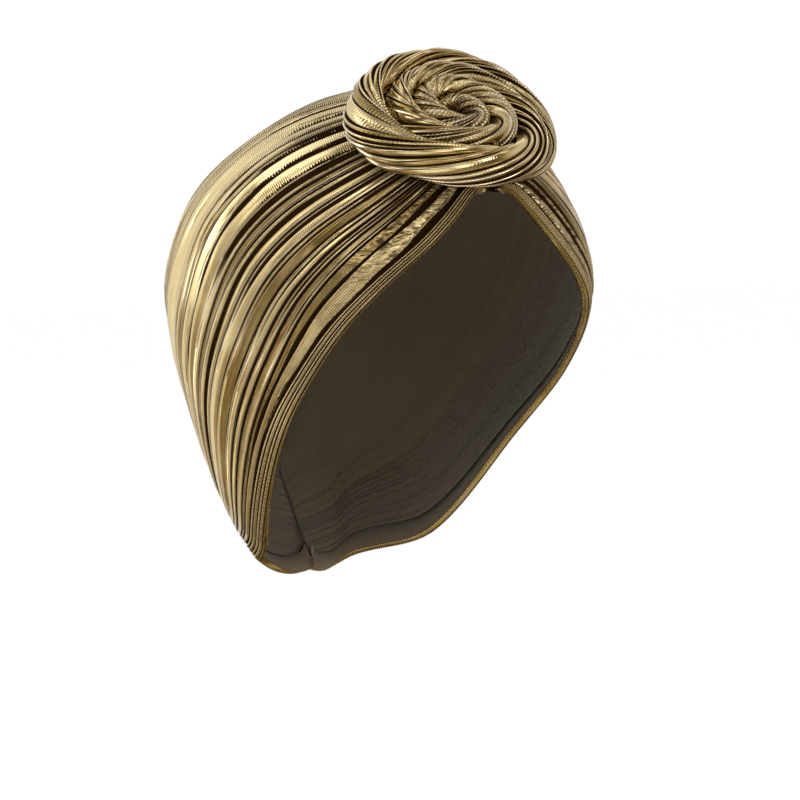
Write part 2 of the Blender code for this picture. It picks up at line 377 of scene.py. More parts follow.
def press_pleats_tree():
    """The Geometry Nodes tree that presses pleats into a shell."""
    tree = bpy.data.node_groups.new("press_pleats", "GeometryNodeTree")
    for name, kind in PRESS_KINDS.items():
        tree.interface.new_socket(name=name, in_out="INPUT", socket_type="NodeSocket" + kind)
    tree.interface.new_socket(name="Pleated", in_out="OUTPUT", socket_type="NodeSocketGeometry")
    sockets = tree.nodes.new("NodeGroupInput").outputs
    given = {name: Wire(tree, sockets[name]) for name in PRESS_KINDS}
    height, left_behind = pressing(tree, given)
    outward = {0: attribute(tree, "outward", "FLOAT_VECTOR"), "Scale": height}
    steps = [("SetPosition", {"Offset": node(tree, "ShaderNodeVectorMath", outward, operation="SCALE")})]
    steps += [("StoreNamedAttribute", {"Name": name, "Value": value}) for name, value in left_behind.items()]
    within = calc("GREATER_THAN", attribute(tree, "inside"), 0.5)
    steps += [("RealizeInstances", {}), ("SetMaterial", {"Material": given["Cloth"]}),
              ("SetMaterial", {"Material": given["Reverse"], "Selection": within})]
    shell = given["Shell"]
    for kind, inputs in steps:
        shell = node(tree, "GeometryNode" + kind, {"Geometry": shell, **inputs})
    put(tree.nodes.new("NodeGroupOutput").inputs[0], shell)
    return tree


PRESS = press_pleats_tree()
print("press_pleats has", len(PRESS.nodes), "nodes")

# %% [markdown]
# ## From a shell to a finished piece
# A shell is a plain mesh with its pleat places stored as attributes, and a UV map in metres of cloth: U
# across the pleats and V along them, so the knit can be drawn at its real size. The tree runs once, the
# result is kept as a plain mesh, and the modifier goes with the shell.

# %% Building and pressing a shell
POINT_FACTS = ("place", "width", "gap", "deep", "crease_at", "crease", "length", "inside", "hammer", "open",
               "comb")
SIZE_FACTS = ("width", "gap", "deep", "length")


def new_object(name, data):
    """A new object in the scene."""
    thing = bpy.data.objects.new(name, data)
    bpy.context.scene.collection.objects.link(thing)
    return thing


def store(mesh, name, kind, key, values):
    """Keeps an attribute of each point."""
    mesh.attributes.new(name, kind, "POINT").data.foreach_set(key, values.astype(np.float32).ravel())


def shell_object(name, points, outward, faces, across, along, facts):
    """A closed shell from points in millimetres, with its UV map and attributes."""
    mesh = bpy.data.meshes.new(name)
    mesh.from_pydata((points.reshape(-1, 3) * MM).tolist(), [], faces)
    mesh.polygons.foreach_set("use_smooth", np.array([len(f) == 4 for f in faces]))
    shape = bmesh.new()
    shape.from_mesh(mesh)
    bmesh.ops.recalc_face_normals(shape, faces=shape.faces)
    shape.to_mesh(mesh)
    shape.free()
    facts = {**facts, "length": along}
    for fact in POINT_FACTS:
        values = np.broadcast_to(facts.get(fact, 0.0), points.shape[:-1])
        store(mesh, fact, "FLOAT", "value", values * (MM if fact in SIZE_FACTS else 1.0))
    store(mesh, "outward", "FLOAT_VECTOR", "vector", outward)
    corners = np.empty(len(mesh.loops), np.int32)
    mesh.loops.foreach_get("vertex_index", corners)
    cloth = np.stack(np.broadcast_arrays(across, along), -1).reshape(-1, 2) * MM
    mesh.uv_layers.new(name="cloth").uv.foreach_set("vector", cloth[corners].astype(np.float32).ravel())
    return new_object(name + "_shell", mesh)


def pressed(shell, name, settings):
    """Runs the tree on a shell and gives the pressed piece as a plain mesh."""
    press = shell.modifiers.new("Press pleats", "NODES")
    press.node_group = PRESS
    for socket in PRESS.interface.items_tree:
        if socket.in_out == "INPUT" and socket.name in settings:
            press[socket.identifier] = settings[socket.name]
    done = bpy.data.meshes.new_from_object(shell.evaluated_get(bpy.context.evaluated_depsgraph_get()))
    piece = new_object(name, done)
    bpy.data.objects.remove(shell)
    done.name = name
    print(f"{name}: {sum(len(p.vertices) - 2 for p in done.polygons)} triangles")
    return piece


def grid_faces(rows, wide, start=0, closed=False):
    """Quads over a grid; a closed one joins its last column to its first."""
    pairs = [(c, (c + 1) % wide) for c in range(wide if closed else wide - 1)]
    firsts = range(start, start + (rows - 1) * wide, wide)
    return [(r + a, r + b, r + b + wide, r + a + wide) for r in firsts for a, b in pairs]


def tube_faces(rows, wide):
    """Quads round a tube, and a face to close each end."""
    ends = [tuple(range(wide)), tuple(range((rows - 1) * wide, rows * wide))]
    return grid_faces(rows, wide, closed=True) + ends


def cloth_lengths(grid):
    """The length of cloth along each row and each column of a grid."""
    along = np.linalg.norm(np.diff(grid, axis=0), axis=2)
    across = np.linalg.norm(np.diff(grid, axis=1), axis=2)
    along = np.concatenate([np.zeros((1, grid.shape[1])), np.cumsum(along, axis=0)])
    across = np.concatenate([np.zeros((grid.shape[0], 1)), np.cumsum(across, axis=1)], axis=1)
    return across - across.mean(axis=1)[:, None], along


# %% [markdown]
# ## The crown
# The crown is one shell of cloth. Its outer face has a column of points on each gap wall, on each fold and
# over each face, so a sharp fold costs few triangles. The inner face is plainer. Gaps are thin lines over the
# top of the cap, where the cloth is stretched, and dark slots at the sides and in the gather, and a slow
# random curve opens and closes each. Wide pleats get a soft crease. The foil on the flat fold beside the hem
# is hammered, and a few folds carry comb marks, teeth where the foil stops short; the material draws both. At
# the nape the pleats flatten and are drawn together into a seam.

# %% Crown sizes
STATIONS = 84
NECK_OUT = (-7.66, -13.0)
PLEAT_DEPTH = 2.2
PLEAT_DEPTH_SHARE = 0.5
GAP_SEED = 11
GAP_TOP, GAP_SIDE, GAP_NAPE = 0.5, 0.85, 0.6
GAP_SIDE_RANGE = (0.12, 0.42)
GAP_NAPE_RANGE = (0.45, 0.8)
GAP_GATHER = 0.9
GATHER_RANGE = (0.12, 0.32)
GATHER_SIDES = (0.2, 0.35)
GAP_LIMIT, GAP_LIMIT_GATHER = 0.26, 0.06
GAP_KINDS = (0.6, 0.8, 1.0, 2.2)
TOP_REACH = 0.3
TOP_KIND_LIMIT = 1.2
GAP_WAVE = 0.6
WAVE_SPEEDS = (2.0, 4.5, 9.0)
WAVE_VARIATION = (0.8, 1.2)
WAVE_SCALE = 2.2
EDGE_RADIUS = 0.55
EDGE_SHARE = 0.2
EDGE_STEPS = (0.0, 1.0, 1.6)
CREASE_PLACE = (0.36, 0.64)
CREASE_STRENGTH = (0.3, 1.0)
CREASE_RANGE = (4.0, 9.0)
CREASE_STEPS = (-1.0, 0.0, 1.0)
CREASE_WIDTH = 1.6
CREASE_ROOM = 0.1
SHALLOW = 0.5
SHALLOW_DEPTH = 0.55
HAMMER_BACK = 0.2
HAMMER_RANGE = (0.24, 0.4)
HAMMER_PLEATS = 2
COMBS = ((25, 0.1, 0.3), (23, 0.12, 0.27), (20, 0.1, 0.32), (19, 0.14, 0.34), (18, 0.12, 0.34),
         (17, 0.22, 0.4))
COMB_FADE = 0.02
SEAM_START = 0.94
SEAM_FLAT = 0.92
SEAM_PINCH = 0.8
SEAM_EDGE = (0.7, 0.85)
LINING_FOLD = 0.7
LINING_PINCH = 0.97
LINING_RANGE = (0.9, 0.96)
LAST = 0.0001
KNOT_CENTRE = np.array([-6.5, -43.5, -11.0])
KNOT_TILT = math.radians(48.0)
KNOT_RISE = np.array([0.0, math.sin(KNOT_TILT), math.cos(KNOT_TILT)])
KNOT_OUT = np.array([0.0, -math.cos(KNOT_TILT), math.sin(KNOT_TILT)])


def slow_waves(count, along, seed):
    """A smooth random curve from about -1 to 1 for each of several lines."""
    chance = np.random.default_rng(seed)
    total = np.zeros(count)
    for speed in WAVE_SPEEDS:
        turns = speed * chance.uniform(*WAVE_VARIATION, count) * along
        total += np.sin(2.0 * math.pi * (turns + chance.uniform(0.0, 1.0, count)))
    return total / WAVE_SCALE


gap_chance = np.random.default_rng(GAP_SEED)
GAP_KIND = gap_chance.choice(GAP_KINDS, PLEATS + 1)
CREASE_AT = gap_chance.uniform(*CREASE_PLACE, PLEATS)
CREASED = gap_chance.uniform(*CREASE_STRENGTH, PLEATS)
print("gaps by kind:", ", ".join(f"{kind} in {np.sum(GAP_KIND == kind)}" for kind in GAP_KINDS))


# %% One ring of the crown
CROWN_FACTS = ("place", "width", "gap", "deep", "crease_at", "crease", "hammer", "open", "comb")


def crown_gaps(along, side, widths):
    """The gap beside each line of a ring, and how open the line is."""
    gaps = GAP_TOP + (GAP_SIDE - GAP_TOP) * ease(side, *GAP_SIDE_RANGE)
    gaps *= 1.0 + (GAP_NAPE - 1.0) * ease(along, *GAP_NAPE_RANGE)
    gathered = (1.0 - ease(along, *GATHER_RANGE)) * ease(side, *GATHER_SIDES)
    gaps *= 1.0 + GAP_GATHER * gathered
    gaps *= np.where(side < TOP_REACH, np.minimum(GAP_KIND, TOP_KIND_LIMIT), GAP_KIND)
    gaps *= LINE_OPEN * np.exp(GAP_WAVE * slow_waves(len(side), along, GAP_SEED))
    narrow = np.minimum(np.append(widths, widths[-1]), np.insert(widths, 0, widths[0]))
    gaps = np.minimum(gaps, (GAP_LIMIT + GAP_LIMIT_GATHER * gathered) * narrow)
    opened = 1.0 - (LINE_KIND == ENDS_EARLY) * ease(along, *SPLIT_END)
    opened -= (LINE_KIND == STARTS_LATE) * (1.0 - ease(along, *LATE_START))
    return gaps * opened, opened


def pleat_spots(width, near_gap, far_gap, crease_at):
    """Where a pleat's points lie across it: gap walls, folds and the crease."""
    edge = min(EDGE_RADIUS, EDGE_SHARE * width)
    near = [0.0] + [near_gap + step * edge for step in EDGE_STEPS]
    far = [width - far_gap - step * edge for step in EDGE_STEPS[::-1]]
    room = min(CREASE_WIDTH, CREASE_ROOM * width)
    return np.array(near + [crease_at * width + step * room for step in CREASE_STEPS] + far)


def comb_share(along, pleat):
    """How far comb marks show on a pleat."""
    return sum(ease(along, start, start + COMB_FADE) - ease(along, end - COMB_FADE, end)
               for combed, start, end in COMBS if combed == pleat)


def crown_ring(along):
    """One ring of the outer face: shares across, and the facts of each point."""
    lines = pleat_edges(along)
    girth = half_girth(along)
    widths = np.diff(lines) * girth
    gaps, opened = crown_gaps(along, np.abs(lines), widths)
    depths = np.where(LINE_OPEN < SHALLOW, SHALLOW_DEPTH, 1.0) * opened
    hammered = HAMMER_BACK + (1.0 - HAMMER_BACK) * (1.0 - ease(along, *HAMMER_RANGE))
    creased = ease(widths, *CREASE_RANGE) * CREASED
    columns = []
    for k, width in enumerate(widths):
        spots = pleat_spots(width, gaps[k], gaps[k + 1], CREASE_AT[k])
        even = np.ones(len(spots))
        first = spots < CREASE_AT[k] * width
        phase = spots / width
        beside_hem = min(k, PLEATS - 1 - k) < HAMMER_PLEATS
        columns.append(np.stack([
            lines[k] + spots / girth, k + np.minimum(phase, 1.0 - LAST), even * width,
            np.where(first, gaps[k], gaps[k + 1]), depths[k] + (depths[k + 1] - depths[k]) * phase,
            even * CREASE_AT[k], even * creased[k], even * hammered * beside_hem,
            opened[k] + (opened[k + 1] - opened[k]) * phase, comb_share(along, k) * first]))
    last = (lines[-1], PLEATS - LAST, widths[-1], gaps[-1], 1.0, 0.5, 0.0, hammered, 1.0, 0.0)
    share, *values = np.concatenate(columns + [np.array([last]).T], axis=1)
    facts = dict(zip(CROWN_FACTS, values))
    deepest = np.minimum(PLEAT_DEPTH, PLEAT_DEPTH_SHARE * facts["width"])
    facts["deep"] = facts["deep"] * deepest * (1.0 - SEAM_FLAT * ease(along, SEAM_START, 1.0))
    return share, facts


# %% Crown shell
def grid_places(stations, shares):
    """Points and outward directions for a row of shares at each station."""
    return (np.array(x) for x in zip(*map(ring_places, stations, shares)))


def crown_outside(stations, shares):
    """The outer face: rows up the neck, then a row for each ring, pinched at the nape."""
    outer, outward = grid_places(stations, shares)
    from_edge = ease(np.abs(shares), *SEAM_EDGE)
    outer[..., 0] *= 1.0 - SEAM_PINCH * ease(stations[:, None], SEAM_START, 1.0) * (1.0 - from_edge)
    from_knot = (outer[0] - KNOT_CENTRE) @ KNOT_OUT
    neck = [outer[0] + (out - from_knot)[:, None] * KNOT_OUT for out in NECK_OUT]
    return np.concatenate([neck, outer]), np.concatenate([outward[:1]] * len(neck) + [outward])


def crown_inside(stations):
    """The inner face: a plain zigzag behind the pleats, drawn together at the nape."""
    inner, outward = grid_places(stations, [pleat_edges(along) for along in stations])
    lift = np.where(np.arange(inner.shape[1]) % 2 == 0, -LINING_FOLD, LINING_FOLD)
    inner = inner - outward * (WALL - lift)[None, :, None]
    inner[..., 0] *= 1.0 - LINING_PINCH * ease(stations[:, None], *LINING_RANGE)
    return inner, -outward


def crown_faces(necks, wide, narrow):
    """The outer and inner face, the walls along both hems, and the closed ends."""
    start = (necks + STATIONS + 1) * wide
    faces = grid_faces(necks + STATIONS + 1, wide) + grid_faces(STATIONS + 1, narrow, start)
    for r in range(STATIONS):
        for near, far in ((0, 0), (wide - 1, narrow - 1)):
            a = (r + necks) * wide + near
            b = start + r * narrow + far
            faces.append((a, a + wide, b + narrow, b))
    last, last_inner = start - wide, start + STATIONS * narrow
    for first, count in ((0, wide), (last, wide), (start, narrow), (last_inner, narrow)):
        faces.append(tuple(range(first, first + count)))
    collar = [r * wide for r in range(necks + 1)] + [start, start + narrow - 1]
    faces.append(tuple(collar + [r * wide + wide - 1 for r in range(necks, -1, -1)]))
    faces.append((last, last + wide - 1, last_inner + narrow - 1, last_inner))
    return faces


def together(outer, inner):
    """The outer face's points or numbers, then the inner face's."""
    return np.concatenate([grid.reshape(-1, *grid.shape[2:]) for grid in (outer, inner)])


def crown_shell():
    """The closed shell of the cap: pleated outside, plainer inside."""
    stations = np.linspace(0.0, 1.0, STATIONS + 1)
    shares, rings = zip(*(crown_ring(along) for along in stations))
    outer, outward = crown_outside(stations, shares)
    inner, inward = crown_inside(stations)
    necks = len(outer) - len(rings)
    rings = rings[:1] * necks + rings
    across, along = map(together, cloth_lengths(outer), cloth_lengths(inner))
    nothing = np.zeros(inner.shape[:2])
    facts = {name: together(np.array([ring[name] for ring in rings]), nothing) for name in CROWN_FACTS}
    facts["inside"] = together(np.zeros(outer.shape[:2]), nothing + 1.0)
    facts["open"] = np.maximum(facts["open"], facts["inside"])
    faces = crown_faces(necks, outer.shape[1], inner.shape[1])
    points, outward = together(outer, inner), together(outward, inward)
    return shell_object("crown", points, outward, faces, across, along, facts)


# %% [markdown]
# ## The hems
# Each hem is a band of four ribs, two narrow and two broad, and the knit's courses cross them, so they look
# like rows of beads. The beads are shape and not only shading, because the eye follows this edge down the
# face. The band is a closed tube with a rolled gold edge at the opening. It tapers under the knot, so its
# start doesn't show as a lump, and the two bands are drawn together where they meet at the nape.

# %% Hem shell
HEM_RIBS = 4
HEM_SPLITS = (0.0, 0.17, 0.5, 0.67, 1.0)
HEM_PHASES = (0.0, 0.12, 0.3, 0.5, 0.7, 0.88)
HEM_PLACES = np.append(np.add.outer(np.arange(HEM_RIBS), HEM_PHASES).ravel(), HEM_RIBS - LAST)
HEM_RIB_DEPTH = 0.7
HEM_GAP = 0.04
HEM_CLEARANCE = 0.35
HEM_SINK = 0.2
HEM_TUCK = 1.5
HEM_TUCK_DEPTH = 0.3
HEM_TUCK_REACH = 0.5
HEM_ROLL = 0.5
HEM_EDGE = ((0.12, 0.7), (0.35, 1.0), (0.65, 1.0), (0.9, 0.6))
HEM_INSIDE = 3
HEM_STATIONS = 1060
HEM_START = 1.0 / 22.0
HEM_TAPER = 0.045
HEM_THIN = 0.25
HEM_SEAM = 1.6
HEM_SEAM_RANGE = (0.965, 0.995)
HEM_MEET = 1.08
HEM_MEET_RANGE = (0.95, 0.98)


def hem_ring(along, side):
    """One ring across the hem: the ribs, the rolled edge, then three inner points."""
    girth = half_girth(along)
    start = hem_share(along) + HEM_CLEARANCE / girth
    share = start + (1.0 - start) * np.interp(HEM_PLACES, np.arange(HEM_RIBS + 1), HEM_SPLITS)
    points, outward = ring_places(along, side * share)
    grown = ease(along, HEM_START, HEM_START + HEM_TAPER)
    thick = WALL * (HEM_THIN + (1.0 - HEM_THIN) * grown) + HEM_SEAM * ease(along, *HEM_SEAM_RANGE)
    tucked = ring_surface(along, np.array([side * (hem_share(along) - HEM_TUCK / girth)]))[0]
    tucked = tucked - outward[0] * (thick + HEM_TUCK_DEPTH)
    lining = points - outward * thick
    beside = points[-1] - points[-3]
    beside /= np.linalg.norm(beside)
    rolled = [points[-1] - outward[-1] * thick * down + beside * HEM_ROLL * grown * out
              for down, out in HEM_EDGE]
    inner = np.array(rolled + [lining[-1], lining[len(points) // 2], tucked])
    rib = np.append(np.floor(HEM_PLACES), [HEM_RIBS - 1] * len(inner)).astype(int)
    width = (1.0 - start) * girth * np.diff(HEM_SPLITS)[rib]
    points = np.concatenate([points - outward * HEM_SINK, inner])
    reach = np.append((HEM_PLACES / HEM_RIBS) ** 2, [1.0] * (len(inner) - 1) + [HEM_TUCK_REACH])
    points[:, 0] *= 1.0 - HEM_MEET * reach * ease(along, *HEM_MEET_RANGE)
    outward = np.concatenate([outward, [beside] * len(rolled), -outward[:HEM_INSIDE]])
    return points, outward, width


def hem_shell(name, side):
    """The closed band of one hem."""
    stations = np.linspace(HEM_START, 1.0, HEM_STATIONS + 1)
    grid, outward, width = (np.array(x) for x in zip(*(hem_ring(along, side) for along in stations)))
    across, along = cloth_lengths(grid)
    along = along.mean(axis=1)[:, None]
    outside, edge = len(HEM_PLACES), len(HEM_EDGE)
    facts = {"place": np.append(HEM_PLACES, [HEM_RIBS - 0.5] * edge + [0.0] * HEM_INSIDE),
             "deep": np.repeat([HEM_RIB_DEPTH, 0.0], [outside, edge + HEM_INSIDE]),
             "inside": np.repeat([0.0, 1.0], [outside + edge, HEM_INSIDE]),
             "width": width, "gap": HEM_GAP, "open": 1.0}
    print(f"{name}: {along[-1, 0]:.0f} mm long")
    return shell_object(name, grid, outward, tube_faces(*across.shape), across, along, facts)


# %% [markdown]
# ## The knot
# The knot is a rope of pleated cloth, twisted and wound into a flat oval coil with an eye a little above its
# middle, and its outer end is tucked under. A simulated rope would not land on the picture's coil, so the
# table gives the rope's path and thickness by its turn. Its ridges run round as it twists, so each crosses a
# roll in about a quarter of a turn. They differ in width, lean one way, and merge in pairs towards the eye.

# %% Knot sizes
COIL_COLUMNS = ("turn", "reach", "half_width", "half_height", "out")
COIL = (
    (-85.0, 36.0, 1.0, 1.2, -9.0), (-45.0, 42.0, 3.2, 4.2, -5.2), (0.0, 44.5, 5.5, 7.0, -1.8),
    (90.0, 42.8, 6.2, 8.3, -0.4), (180.0, 41.0, 8.0, 8.8, 0.0), (270.0, 39.3, 9.0, 8.8, 0.0),
    (360.0, 32.0, 7.0, 8.4, 0.6), (450.0, 28.7, 5.2, 8.0, 1.0), (540.0, 26.2, 5.4, 8.0, 1.2),
    (630.0, 26.7, 6.4, 8.0, 1.2), (720.0, 19.8, 6.0, 7.6, 1.2), (810.0, 14.8, 4.9, 7.4, 1.2),
    (900.0, 13.9, 5.6, 7.2, 1.0), (990.0, 16.2, 5.8, 7.0, 0.8), (1080.0, 8.9, 4.8, 6.2, 0.0),
    (1170.0, 5.0, 3.7, 5.5, -0.8), (1260.0, 4.2, 3.5, 4.5, -2.0), (1305.0, 3.6, 2.4, 3.2, -3.2),
)
COIL_RINGS = 390
COIL_TWIST = 1.9
EYE_ACROSS = -2.0
EYE_UP = 4.5
EYE_RANGE = (90.0, 990.0)
KNOT_OVAL = 0.73
KNOT_BEND = 0.0028
RIDGES = 15
RIDGE_SEED = 4
RIDGE_VARIATION = 0.5
RIDGE_LIMITS = (0.4, 2.6)
RIDGE_PHASES = np.array([0.0, 0.05, 0.12, 0.22, 0.35, 0.5, 0.65, 0.78, 0.88, 0.95])
RIDGE_DEPTH, RIDGE_DEPTH_SHARE = 2.2, 0.65
RIDGE_GAP, RIDGE_GAP_SHARE = 0.12, 0.06
PAIR_RANGE = (250.0, 700.0)
PAIR_DEPTH = 0.15
TURN_NUDGE = 0.5
ANGLE_NUDGE = 0.01


# %% Knot shell
def ridge_places():
    """Round the rope: shares of the way, ridge numbers with phase, and ridge widths."""
    chance = np.random.default_rng(RIDGE_SEED)
    widths = np.clip(np.exp(RIDGE_VARIATION * chance.normal(0.0, 1.0, RIDGES)), *RIDGE_LIMITS)
    widths = widths / widths.sum()
    starts = np.concatenate([[0.0], np.cumsum(widths)[:-1]])
    round_share = (starts[:, None] + widths[:, None] * RIDGE_PHASES).ravel()
    place = (np.arange(RIDGES)[:, None] + RIDGE_PHASES).ravel()
    return round_share, place, np.repeat(widths, len(RIDGE_PHASES))


def coil_points(turn, angle):
    """Points of the rope's surface, in millimetres."""
    reach, half_width, half_height, out = (
        table_value(COIL, COIL_COLUMNS, name, turn) for name in COIL_COLUMNS[1:])
    slip = ease(turn, *EYE_RANGE)
    way = np.radians(turn)
    from_centre = reach + half_width * np.cos(angle)
    across = from_centre * np.cos(way) + slip * EYE_ACROSS
    up = from_centre * np.sin(way) * KNOT_OVAL + slip * EYE_UP
    height = out + half_height * np.sin(angle) - KNOT_BEND * across ** 2
    points = KNOT_CENTRE + up[..., None] * KNOT_RISE + height[..., None] * KNOT_OUT
    points[..., 0] += across
    return points


def coil_outward(grid, turn, angle):
    """The outward direction at each point of the rope."""
    round_way = coil_points(turn, angle + ANGLE_NUDGE) - coil_points(turn, angle - ANGLE_NUDGE)
    long_way = coil_points(turn + TURN_NUDGE, angle) - coil_points(turn - TURN_NUDGE, angle)
    outward = np.cross(round_way, long_way)
    outward /= np.linalg.norm(outward, axis=2)[..., None]
    from_middle = grid - grid.mean(axis=1)[:, None]
    return outward * np.sign((from_middle * outward).sum(axis=2).mean())


def pair_strength(turn, place):
    """How deep a ridge is pressed: the line inside a pair fades towards the eye."""
    line, phase = np.divmod(place, 1.0)
    to_pair_line = np.where(line % 2 == 1, 1.0 - phase, phase)
    return 1.0 - ease(turn, *PAIR_RANGE) * (1.0 - PAIR_DEPTH) * to_pair_line


def knot_shell():
    """The closed shell of the coiled rope."""
    round_share, place, ridge_share = ridge_places()
    turn = np.linspace(COIL[0][0], COIL[-1][0], COIL_RINGS + 1)[:, None]
    angle = round_share * 2.0 * math.pi + COIL_TWIST * np.radians(turn)
    turn = np.broadcast_to(turn, angle.shape)
    grid = coil_points(turn, angle)
    outward = coil_outward(grid, turn, angle)
    girth = np.linalg.norm(grid - np.roll(grid, 1, axis=1), axis=2).sum(axis=1)[:, None]
    steps = np.linalg.norm(np.diff(grid.mean(axis=1), axis=0), axis=1)
    path = np.concatenate([[0.0], np.cumsum(steps)])[:, None]
    width = ridge_share * girth
    strength = pair_strength(turn, place)
    facts = {"place": place, "width": width, "gap": np.minimum(RIDGE_GAP, RIDGE_GAP_SHARE * width),
             "deep": np.minimum(RIDGE_DEPTH, RIDGE_DEPTH_SHARE * width) * strength, "open": strength}
    faces = tube_faces(*angle.shape)
    print(f"the rope is {path[-1, 0]:.0f} mm long and {girth.max():.0f} mm round at its thickest")
    return shell_object("knot_coil", grid, outward, faces, round_share * girth, path, facts)


# %% [markdown]
# ## The cloth
# The cloth is a dark knit with a gold foil pressed on its face. A mask says where foil is left: it is smooth
# and bright on the folds, cracked into flecks on the hammered fold, and ends in teeth at the comb marks. The
# same mask paints shade: the cloth turns dark and dull in the gaps, low on the gap walls and in creases. Some
# pleats are worn and browner. The top of the cap is painted paler, a painted highlight runs along the fold
# lines, and the valleys between the knit's courses get painted shade. The knit's courses cross every pleat,
# about a millimetre apart, as fine ribs. All of it is read from the UV map and the attributes, so the pattern
# follows the cloth at any size.

# %% Helpers for materials
WALE_PITCH = 0.0007


def new_material(name, **constants):
    """A material with a Principled shader and its constant sockets set."""
    material = bpy.data.materials.new(name)
    material.use_nodes = True
    shader = material.node_tree.nodes["Principled BSDF"]
    for socket, value in constants.items():
        shader.inputs[socket.replace("_", " ")].default_value = value
    return material, material.node_tree, shader.inputs


def fact(tree, name):
    """A stored attribute inside a material."""
    return node(tree, "ShaderNodeAttribute", (), "Fac", attribute_name=name, attribute_type="GEOMETRY")


def mixed(share, low, high):
    """A colour between two."""
    return node(share.tree, "ShaderNodeMix", {0: share, 6: low, 7: high}, 2, data_type="RGBA")


def grain(place, scale, detail=2.0):
    """Noise from 0 to 1 at a scale in cells for each metre."""
    return node(place.tree, "ShaderNodeTexNoise", {"Vector": place, "Scale": scale, "Detail": detail})


def ripple(place, pitch):
    """A wave from -1 to 1 that repeats at a pitch in metres."""
    return calc("SINE", place * (2.0 * math.pi / pitch))


def cloth_places(tree, course_pitch):
    """The cloth's UV map, its U and V apart, and the waves of its courses and wales."""
    uv = node(tree, "ShaderNodeUVMap", uv_map="cloth")
    across, along = (node(tree, "ShaderNodeSeparateXYZ", {0: uv}, output) for output in ("X", "Y"))
    return uv, across, along, ripple(along, course_pitch), ripple(across, WALE_PITCH)


def bump(height, distance=1.0):
    """Fine relief that is too small to model, in metres when the distance is 1."""
    inputs = {"Strength": 1.0, "Distance": distance, "Height": height}
    return node(height.tree, "ShaderNodeBump", inputs)


# %% Marks on the foil
FOIL = (0.76, 0.61, 0.325, 1.0)
WORN = (0.34, 0.23, 0.065, 1.0)
# Painted highlight: a paler gold over the top of the cap
TOP_HIGHLIGHT_TINT = (0.90, 0.78, 0.51, 1.0)
# Painted highlight: a pale tint along the fold lines
FOLD_HIGHLIGHT_TINT = (0.93, 0.82, 0.63, 1.0)
# A near-black: bare knit in the flecks and comb teeth, and painted shade in gaps, creases and rib valleys
DARK = (0.022, 0.010, 0.0025, 1.0)
WORN_TONES = (0.3, 0.85)
WORN_EVEN, WORN_PATCHY = 0.35, 0.9
PATCH_GRAIN = 60.0
RIBBED_GRAIN, RIBBED_RANGE = 16.0, (0.42, 0.62)
RIBBED_EVEN, RIBBED_TONE = 0.35, 0.65
CRACKLE_GRAIN, CRACKLE_RANGE = 450.0, (0.51, 0.58)
FLECK_GRAIN, FLECK_RANGE, FLECK_SHARE = 130.0, (0.38, 0.53), 0.9
COMB_PITCH, TOOTH = 0.0013, 0.0006
RAGGED_GRAIN, RAGGED = 130.0, 0.003
TOOTH_BACK, TOOTH_EDGE = 0.0003, 0.00012


def ribbed_share(uv, tone, over_top):
    """How clearly the courses show: in patches, more on some pleats, and always over the top."""
    patches = soft_step(grain(uv, RIBBED_GRAIN), *RIBBED_RANGE) * (RIBBED_EVEN + tone * RIBBED_TONE)
    return calc("MAXIMUM", patches, over_top)


def worn_share(uv, tone):
    """How worn the foil is: by pleat, and in soft patches."""
    return soft_step(tone, *WORN_TONES) * (WORN_EVEN + grain(uv, PATCH_GRAIN, 3.0) * WORN_PATCHY)


def bare_flecks(place, hammer):
    """Cracked foil on the hammered fold."""
    crackle = soft_step(grain(place, CRACKLE_GRAIN), *CRACKLE_RANGE)
    return crackle * soft_step(grain(place, FLECK_GRAIN), *FLECK_RANGE) * hammer * FLECK_SHARE


def bare_teeth(uv, along, verge, comb):
    """Comb marks: foil that stops short of the fold in small ragged teeth."""
    reach = ripple(along, COMB_PITCH) * TOOTH + (grain(uv, RAGGED_GRAIN) * RAGGED - TOOTH_BACK) - verge
    return soft_step(reach, 0.0, TOOTH_EDGE) * comb


# %% Gold cloth and its reverse
CROWN_COURSES, KNOT_COURSES, HEM_BEADS = 0.0009, 0.00125, 0.0011
TOP_RANGE = (0.065, 0.11)
# Over the top: a painted highlight, a weaker painted fold-line highlight, painted shade higher up the gap
# walls, and rougher foil
TOP_HIGHLIGHT_SHARE, TOP_HIGHLIGHT_CUT, TOP_WALL_SHADE, TOP_ROUGH = 0.4, 0.5, 0.2, 0.06
STRETCH = (1.0, 0.45, 1.0)
LINE_RISE, LINE_FALL = (0.7, 0.85), (0.95, 1.0)
FOIL_RANGE = (0.45, 0.8)
ROUGH_GRAIN, ROUGH_VARIATION, ROUGH_BARE = 400.0, 0.14, 0.5
WALE_SHARE = 0.2
DENT_GRAIN, DENT_HEIGHT = 330.0, 0.0008
REVERSE_DARK, REVERSE_LIGHT = (0.05, 0.033, 0.016, 1.0), (0.20, 0.14, 0.07, 1.0)
REVERSE_HEIGHT, REVERSE_CONTRAST = 0.00012, 0.3


